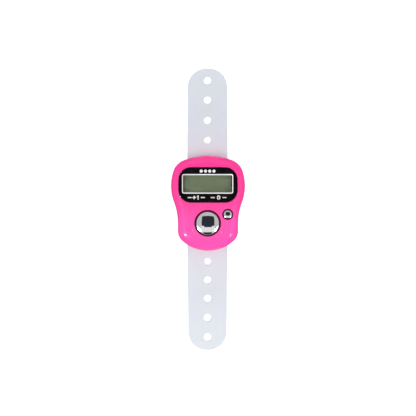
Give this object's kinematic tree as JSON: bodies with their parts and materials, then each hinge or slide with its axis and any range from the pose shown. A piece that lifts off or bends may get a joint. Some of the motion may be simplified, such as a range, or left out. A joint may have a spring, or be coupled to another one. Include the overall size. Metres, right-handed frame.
{
  "type": "electronic finger tally counter",
  "caption": "Finger-worn tally counter: rounded two-shell case, display lens, large count key, small reset key, keeper bars at the back and a perforated silicone band that wraps a finger.",
  "frame": {"origin": "midway along the band and the case's width, on the plane that the counter lies on", "axes": "+Z out of the display, +Y along the band from the keys past the display, +X to the reset key's side"},
  "size_m": [0.028, 0.1072, 0.0137],
  "materials": {
    "pink_abs": "moulded ABS, high gloss, hot pink",
    "pink_abs_back": "moulded ABS, fine satin texture, hot pink",
    "screw_steel": "zinc-plated self-tapping screws",
    "lens_acrylic": "clear polished acrylic",
    "black_print": "black silk-screen ink behind the lens",
    "white_print": "white silk-screen ink behind the lens",
    "foam_tape": "thin double-sided tape",
    "polariser_film": "grey-green polarising film",
    "display_glass": "thin soda-lime display glass",
    "seal_resin": "epoxy edge seal",
    "reflector_foil": "grey-green reflective film",
    "zebra_rubber": "striped elastomer connector",
    "board_laminate": "green solder mask on glass-epoxy laminate",
    "black_resin": "black epoxy over the bonded chip",
    "chip_ceramic": "tan ceramic chips",
    "carbon_print": "printed carbon key pads",
    "solder": "bright tin solder",
    "button_chrome": "mirror chrome plating on ABS",
    "clear_silicone": "translucent silicone rubber",
    "carbon_rubber": "conductive carbon rubber",
    "cell_steel": "nickel-plated steel",
    "gasket_nylon": "natural nylon",
    "contact_steel": "nickel-plated spring strip",
    "band_silicone": "milky translucent silicone, satin"
  },
  "bodies": {
    "case": {"front_case": "pink_abs", "back_case": "pink_abs_back", "case_screws": "screw_steel", "board_screws": "screw_steel", "display_lens": "lens_acrylic", "lens_black_print": "black_print", "lens_white_print": "white_print", "lens_tape": "foam_tape", "lcd_polariser": "polariser_film", "lcd_front_glass": "display_glass", "lcd_rear_glass": "display_glass", "lcd_seal": "seal_resin", "lcd_reflector": "reflector_foil", "zebra_connector": "zebra_rubber", "circuit_board": "board_laminate", "chip_blob": "black_resin", "smd_parts": "chip_ceramic", "key_pads": "carbon_print", "solder_joints": "solder", "count_dome": "clear_silicone", "reset_dome": "clear_silicone", "battery_can": "cell_steel", "battery_gasket": "gasket_nylon", "battery_cap": "cell_steel", "positive_contact": "contact_steel", "negative_contact": "contact_steel"},
    "count_key": {"count_button": "button_chrome", "count_pill": "carbon_rubber"},
    "reset_key": {"reset_button": "button_chrome", "reset_pill": "carbon_rubber"},
    "band_middle": {"band_centre": "band_silicone"},
    "upper_band_root": {"upper_band_inner": "band_silicone"},
    "upper_band_tip": {"upper_band_outer": "band_silicone"},
    "lower_band_root": {"lower_band_inner": "band_silicone"},
    "lower_band_tip": {"lower_band_outer": "band_silicone"}
  },
  "joints": [
    {"name": "count_press", "type": "slide", "parent": "case", "child": "count_key", "axis": [0, 0, -1], "range_m": [0, 0.0008], "stiffness_N_per_m": 1200, "springref_m": -0.0004, "deforming": ["count_dome"]},
    {"name": "reset_press", "type": "slide", "parent": "case", "child": "reset_key", "axis": [0, 0, -1], "range_m": [0, 0.0006], "stiffness_N_per_m": 1200, "springref_m": -0.0004, "deforming": ["reset_dome"]},
    {"name": "band_slide", "type": "slide", "parent": "case", "child": "band_middle", "axis": [0, 1, 0], "range_m": [-0.0015, 0.0015]},
    {"name": "upper_band_bend", "type": "hinge", "parent": "band_middle", "child": "upper_band_root", "pos_m": [0, 0.0195, 0.002], "axis": [-1, 0, 0], "range_deg": [0, 86], "stiffness_Nm_per_rad": 0.0004},
    {"name": "upper_tip_bend", "type": "hinge", "parent": "upper_band_root", "child": "upper_band_tip", "pos_m": [0, 0.03765, 0.0006], "axis": [-1, 0, 0], "range_deg": [0, 94], "stiffness_Nm_per_rad": 0.0004},
    {"name": "lower_band_bend", "type": "hinge", "parent": "band_middle", "child": "lower_band_root", "pos_m": [0, -0.0139, 0.002], "axis": [1, 0, 0], "range_deg": [0, 86], "stiffness_Nm_per_rad": 0.0004},
    {"name": "lower_tip_bend", "type": "hinge", "parent": "lower_band_root", "child": "lower_band_tip", "pos_m": [0, -0.03025, 0.0006], "axis": [1, 0, 0], "range_deg": [0, 94], "stiffness_Nm_per_rad": 0.0004}
  ]
}
